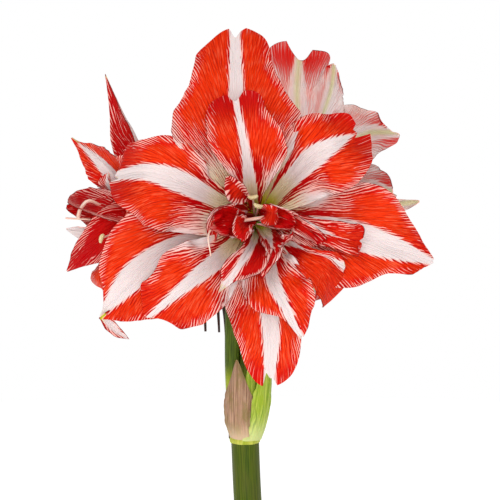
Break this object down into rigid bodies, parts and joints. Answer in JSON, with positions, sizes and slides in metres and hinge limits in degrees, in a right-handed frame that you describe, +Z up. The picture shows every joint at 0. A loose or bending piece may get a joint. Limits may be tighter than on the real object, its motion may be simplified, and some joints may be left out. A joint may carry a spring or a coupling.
{
  "type": "potted double amaryllis",
  "caption": "Amaryllis bulb in a clay pot, with strap leaves and a tall scape that carries large striped double blooms facing outwards.",
  "frame": {"origin": "middle of the pot's underside, on the surface that it stands on", "axes": "+Z up along the scape; -Y is the way the front bloom faces; +X to the right as seen from the front"},
  "size_m": [0.2825, 0.2755, 0.7238],
  "materials": {
    "clay": "matt, slightly rough terracotta",
    "soil": "crumbly dark potting soil",
    "bulb_skin": "dry papery skin over a fleshy bulb",
    "green_stem": "smooth, waxy, yellow-green",
    "leaf": "smooth, satin, mid green",
    "spathe_pink": "papery, pinkish brown with fine veins",
    "spathe_green": "papery, yellow-green with fine veins",
    "withered": "dry, dark brown",
    "petal": "satin red with white midribs, throat and fine white streaks"
  },
  "bodies": {
    "root": {"pot": "clay", "soil": "soil", "bulb": "bulb_skin", "scape": "green_stem", "leaf_1": "leaf", "leaf_2": "leaf", "leaf_3": "leaf", "leaf_4": "leaf", "spathe_left": "spathe_pink", "spathe_right": "spathe_green", "bracteole_1": "withered", "bracteole_2": "withered", "bloom_front": "petal", "bloom_left": "petal", "bloom_right": "petal"}
  },
  "joints": []
}
